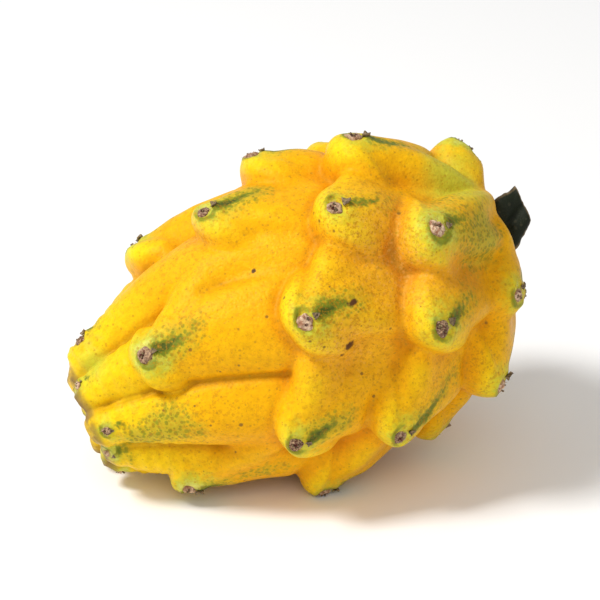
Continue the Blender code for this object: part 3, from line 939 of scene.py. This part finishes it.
# %% Dried scales
draw = random.Random(31)
SCALE_AT = 2.05
SCALE_LENGTH = 1.45
SCALE_WIDTH = 0.75
scale_shape = bmesh.new()
tip_layer = scale_shape.verts.layers.float.new("tip")
for number in BORNE:
    size = CUSHION_AT[number] * draw.uniform(0.8, 1.25)
    curl = draw.uniform(0.05, 0.35)
    known = len(scale_shape.verts)
    leaf = bmesh.ops.create_grid(scale_shape, x_segments=6, y_segments=8, size=1.0)["verts"]
    for vert in leaf:
        out = (vert.co.y + 1) / 2
        width = SCALE_WIDTH * (1 - out ** 1.3) + 0.08
        ripple = 0.4 * noise.noise(Vector((vert.co.x * 1.5, out * 2.5, number * 4.4)))
        vert[tip_layer] = out
        side = vert.co.x
        vert.co = Vector((side * width, (out - 0.35) * SCALE_LENGTH * (1 - 0.25 * curl * out),
                          0.25 + curl * out ** 2 * 1.1 + 0.35 * side ** 2 + ripple)) * size
    faces = {face for vert in leaf for face in vert.link_faces}
    bmesh.ops.solidify(scale_shape, geom=list(faces), thickness=0.22 * size)
    turn = Matrix.Rotation(draw.uniform(-0.5, 0.5), 4, "Z")
    stand = skin_frame(number, SCALE_AT * CUSHION_AT[number], draw.uniform(-0.3, 0.3))
    bmesh.ops.transform(scale_shape, matrix=stand @ turn, verts=scale_shape.verts[known:])
keep_off_floor(scale_shape)
bmesh.ops.recalc_face_normals(scale_shape, faces=scale_shape.faces)
finish_piece("dried_scales", scale_shape, dried_material)

# %% Hair material
HAIR_PALE = (0.75, 0.58, 0.38)
HAIR_BROWN = (0.36, 0.24, 0.14)
hair_material, tree, shader, place = new_material("felt_hair")
colour = mix(cloud(0.6, 2, shift=9), HAIR_PALE, HAIR_BROWN)
feed(shader.inputs["Base Color"], colour)
feed(shader.inputs["Roughness"], plus(times(cloud(0.3), 0.2), 0.6))
print("hair material has", len(tree.nodes), "nodes")

# %% Felt hairs
draw = random.Random(11)
HAIRS_EACH = 44
hair_shape = bmesh.new()


def add_hair(shape, root, towards, length, radius):
    """A three-sided cone from a root, both in metres."""
    known = len(shape.verts)
    bmesh.ops.create_cone(shape, cap_ends=True, segments=3, radius1=radius, radius2=radius * 0.15,
                          depth=length)
    stand = towards.to_track_quat("Z", "Y").to_matrix().to_4x4()
    lift = Matrix.Translation(root + towards.normalized() * (length * 0.45))
    bmesh.ops.transform(shape, matrix=lift @ stand, verts=shape.verts[known:])


for number in BORNE:
    size = CUSHION_AT[number]
    matrix = nose_frames[number]
    for _ in range(HAIRS_EACH):
        angle = draw.uniform(0, 2 * math.pi)
        away = CUSHION_RADIUS * size * math.sqrt(draw.random()) * 0.98
        bulge = 0.35 * size * (1 - (away / CUSHION_RADIUS) ** 2)
        foot = Vector((away * math.cos(angle), away * math.sin(angle), bulge))
        tip = foot + Vector((0.5 * math.cos(angle), 0.5 * math.sin(angle), draw.uniform(0.5, 1.0)))
        tip += Vector((draw.uniform(-0.4, 0.4), draw.uniform(-0.4, 0.4), 0))
        root = matrix @ foot
        length = draw.uniform(0.5, 1.2) * size * MM
        add_hair(hair_shape, root, matrix @ tip - root, length, draw.uniform(0.03, 0.06) * MM)
keep_off_floor(hair_shape)
finish_piece("felt_hairs", hair_shape, hair_material, smooth=False)

# %% [markdown]
# ## The flower's scar
# The narrow end holds the scar of the flower: a shallow crater with a cushion of dried, brown, fibrous felt,
# in which the stump of the style stands. The cushion is a flattened sphere whose front is drawn into rays by
# a wave around its axis. Dry filaments lie over it.

# %% Felt of the flower
REMNANT_RADIUS = 5.0
REMNANT_THICKNESS = 3.0
REMNANT_GAP = 0.9
along_fruit = Matrix.Rotation(math.radians(-90), 4, "Y")
scar_place = RESTING @ Matrix.Translation(Vector((CRATER_DEPTH - REMNANT_GAP - REMNANT_THICKNESS / 2, 0, 0)))
flower_shape = bmesh.new()
bmesh.ops.create_uvsphere(flower_shape, u_segments=96, v_segments=48, radius=1.0)
flower_pit_shade = flower_shape.verts.layers.float.new("pit")
flower_age = flower_shape.verts.layers.float.new("age")
for vert in flower_shape.verts:
    angle = math.atan2(vert.co.y, vert.co.x)
    away = math.hypot(vert.co.x, vert.co.y)
    ray = math.sin(19 * angle + 2.5 * noise.noise(Vector((away * 3, angle, 1)))) * away * (1.15 - away)
    lump = noise.noise(vert.co * 2.6)
    style = math.exp(-(away / 0.16) ** 2)
    ditch = math.exp(-((away - 0.3) / 0.10) ** 2)
    front = max(vert.co.z, 0.0) ** 0.5
    # Painted shade: the felt material darkens the ditch around the style's stump.
    vert[flower_pit_shade] = min(1.0, 0.9 * ditch * front)
    vert[flower_age] = 0.45 + 0.3 * lump
    height = vert.co.z * REMNANT_THICKNESS / 2
    height += front * (0.30 * ray + 0.35 * lump + 0.8 * style - 0.5 * ditch)
    vert.co = Vector((vert.co.x * REMNANT_RADIUS, vert.co.y * REMNANT_RADIUS, height))
bmesh.ops.transform(flower_shape, matrix=scar_place @ along_fruit, verts=flower_shape.verts)
flower = finish_piece("flower_felt", flower_shape, felt_material)
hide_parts("flower_remnant")

# %% Dry filaments over the scar
draw = random.Random(41)
FILAMENTS = 130
filament_shape = bmesh.new()
for _ in range(FILAMENTS):
    angle = draw.uniform(0, 2 * math.pi)
    away = draw.uniform(1.2, 6.0)
    foot = Vector((away * math.cos(angle), away * math.sin(angle), 1.1))
    tip = foot + Vector((math.cos(angle), math.sin(angle), 0))
    tip += Vector((draw.uniform(-1.2, 1.2), draw.uniform(-1.2, 1.2), draw.uniform(0.3, 1.2)))
    root = scar_place @ along_fruit @ foot
    end = scar_place @ along_fruit @ tip
    add_hair(filament_shape, root, end - root, draw.uniform(1.4, 2.8) * MM, draw.uniform(0.06, 0.12) * MM)
finish_piece("flower_filaments", filament_shape, hair_material, smooth=False)

# %% [markdown]
# ## The scrap of stem
# The fruit was cut off with a bit of the three-winged stem that bore it. The scrap is extruded from its
# outline in short steps that rise and narrow, as the CAD's is, with many more sides and steps. Its sides are
# near-black green with dry, tan edges on the wings, and its cut end dried to a sunken, woody face.

# %% Stem shape
STUB_LENGTH = 7.2
STUB_RADIUS = 4.2
STUB_WING = 1.6
STUB_SINK = 1.2
STUB_SIDES = 96
STUB_STEPS = 22
stem_shape = bmesh.new()
bmesh.ops.create_circle(stem_shape, cap_ends=True, segments=STUB_SIDES, radius=1.0)
stem_shape.faces.ensure_lookup_table()
base_face = stem_shape.faces[0]
end_face = base_face
edge_layer = stem_shape.verts.layers.float.new("wing")
cut_layer = stem_shape.verts.layers.float.new("cut")
rings = [list(stem_shape.verts)]
for step in range(STUB_STEPS):
    grown_out = bmesh.ops.extrude_face_region(stem_shape, geom=[end_face])["geom"]
    if end_face is not base_face:
        bmesh.ops.delete(stem_shape, geom=[end_face], context="FACES_ONLY")
    rings.append([item for item in grown_out if isinstance(item, bmesh.types.BMVert)])
    end_face = next(item for item in grown_out if isinstance(item, bmesh.types.BMFace))
for number, ring in enumerate(rings):
    share = number / STUB_STEPS
    rise = 0.38 * share ** 1.5 * STUB_LENGTH
    size = 1.0 + 0.12 * math.sin(math.pi * min(1, share * 1.4)) - 0.22 * share ** 2
    for vert in ring:
        angle = math.atan2(vert.co.y, vert.co.x)
        wing = math.cos(3 * angle)
        rough = 0.35 * noise.noise(Vector((2.2 * math.cos(angle), 2.2 * math.sin(angle), share * 3)))
        notch = 0.5 * max(0, noise.noise(Vector((angle * 1.4, share * 5, 7)))) * max(0, wing)
        radius = (STUB_RADIUS + STUB_WING * wing + rough - notch) * size
        vert[edge_layer] = max(0.0, wing) ** 3
        vert[cut_layer] = 1.0 if number == STUB_STEPS else 0.0
        vert.co = Vector((radius * math.cos(angle), radius * math.sin(angle) + rise, share * STUB_LENGTH))
bmesh.ops.inset_region(stem_shape, faces=[end_face], thickness=0.7, depth=0.0)
for _ in range(5):
    bmesh.ops.inset_region(stem_shape, faces=[end_face], thickness=0.55, depth=-0.16)
bmesh.ops.poke(stem_shape, faces=[end_face])
bmesh.ops.poke(stem_shape, faces=[base_face])
# Whatever isn't on a ring, and isn't the middle of the base, belongs to the sunken cut face.
on_rings = {vert for ring in rings for vert in ring}
for vert in stem_shape.verts:
    if vert not in on_rings and vert.co.z > STUB_LENGTH / 2:
        vert[cut_layer] = 1.0
        vert.co.z += 0.25 * noise.noise(vert.co * 0.9)
# The scrap was built along Z: turn it to lie along the fruit, its curve rising.
facing = Matrix(((0, 0, 1), (1, 0, 0), (0, 1, 0))).to_4x4()
stem_place = RESTING @ Matrix.Translation(Vector((BODY_LENGTH - STUB_SINK, 0, 0)))
bmesh.ops.transform(stem_shape, matrix=stem_place @ facing, verts=stem_shape.verts)
bmesh.ops.recalc_face_normals(stem_shape, faces=stem_shape.faces)

# %% Stem material
STEM_DARK = (0.004, 0.006, 0.003)
STEM_GREEN = (0.016, 0.022, 0.008)
STEM_FRECKLE = (0.06, 0.055, 0.03)
WING_TAN = (0.16, 0.11, 0.055)
CUT_DARK = (0.10, 0.065, 0.03)
CUT_TAN = (0.30, 0.22, 0.12)
stem_material, tree, shader, place = new_material("dark_stem")
tone = cloud(2.0, 4, shift=4)
colour = mix(tone, STEM_DARK, STEM_GREEN)
stem_freckles = place_group(freckle_group, place, Spacing=900.0, Share=0.35, Size=0.3)
colour = lay_over(colour, STEM_FRECKLE, stem_freckles["Mask"], 0.4)
dry = uneven(grown("wing"), tone, 0.8)
colour = lay_over(colour, WING_TAN, step_between(dry, 0.75, 1.1))
cut_tone = mix(cloud(0.7, 3, shift=6), CUT_DARK, CUT_TAN)
colour = lay_over(colour, cut_tone, grown("cut"))
roughness = plus(times(tone, 0.3), 0.5)
stem_grain = place_group(grain_group, place, Scale=1800.0)
surface(shader, colour, roughness, stem_grain["Height"], 0.14)
shader.inputs["Specular IOR Level"].default_value = 0.2
stem = finish_piece("stem_scrap", stem_shape, stem_material)
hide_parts("stem_stub")

# %% [markdown]
# ## Floor, light and camera
# The fruit lies on a plain white sweep in a bright, soft light from the upper left. A white world fills the
# shadows, one large lamp gives the broad gloss and the soft shadow to the lower right, and a long lens looks
# down at 25 degrees on the fruit's side, the narrow end to the left.

# %% View directions
AZIMUTH = math.radians(-15)
ELEVATION = math.radians(25)
level = Vector((math.sin(AZIMUTH), -math.cos(AZIMUTH), 0))
back = level * math.cos(ELEVATION) + Vector((0, 0, math.sin(ELEVATION)))
right = Vector((math.cos(AZIMUTH), math.sin(AZIMUTH), 0))
up = back.cross(right)
bpy.context.view_layer.update()
low, high = (Vector(corner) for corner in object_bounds())
middle = (low + high) / 2
print("the camera looks at", tuple(round(value, 4) for value in middle))

# %% Floor
floor_shape = bmesh.new()
bmesh.ops.create_grid(floor_shape, x_segments=1, y_segments=1, size=4.0)
floor_mesh = bpy.data.meshes.new("floor")
floor_shape.to_mesh(floor_mesh)
floor_shape.free()
floor = bpy.data.objects.new("floor", floor_mesh)
bpy.context.scene.collection.objects.link(floor)
floor_material, tree, shader, place = new_material("white_sweep")
shader.inputs["Base Color"].default_value = (0.97, 0.965, 0.955, 1)
shader.inputs["Roughness"].default_value = 0.75
shader.inputs["Specular IOR Level"].default_value = 0.2
floor_mesh.materials.append(floor_material)
floor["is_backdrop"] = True


# %% Lamps and world
def lamp(name, side, rise, front, size, power):
    """A square soft lamp, placed by how far it is to the right, up and in front as the camera sees it."""
    light = bpy.data.lights.new(name, "AREA")
    light.size = size
    light.energy = power
    holder = bpy.data.objects.new(name, light)
    place = middle + right * side + up * rise + back * front
    holder.location = place
    holder.rotation_euler = (middle - place).to_track_quat("-Z", "Y").to_euler()
    bpy.context.scene.collection.objects.link(holder)


lamp("key", -0.58, 0.66, 0.52, 0.26, 8.8)
lamp("front_fill", 0.05, 0.20, 0.9, 0.5, 1.1)
world = bpy.data.worlds.new("white_room")
bpy.context.scene.world = world
world.use_nodes = True
world.node_tree.nodes["Background"].inputs["Color"].default_value = (1.0, 1.0, 1.0, 1)
world.node_tree.nodes["Background"].inputs["Strength"].default_value = 0.50
bpy.context.scene.view_settings.view_transform = "Standard"

# %% Camera
DISTANCE = 0.75
FRAME_WIDTH = 0.128
camera = bpy.data.cameras.new("camera")
camera.sensor_width = 36
camera.lens = camera.sensor_width * DISTANCE / FRAME_WIDTH
camera.clip_start = 0.01
camera_holder = bpy.data.objects.new("camera", camera)
axes = Matrix((right, up, back)).transposed().to_4x4()
camera_holder.matrix_world = Matrix.Translation(middle + back * DISTANCE) @ axes
bpy.context.scene.collection.objects.link(camera_holder)
bpy.context.scene.camera = camera_holder
print("lens:", round(camera.lens), "mm")

# %% The end
bpy.context.view_layer.update()
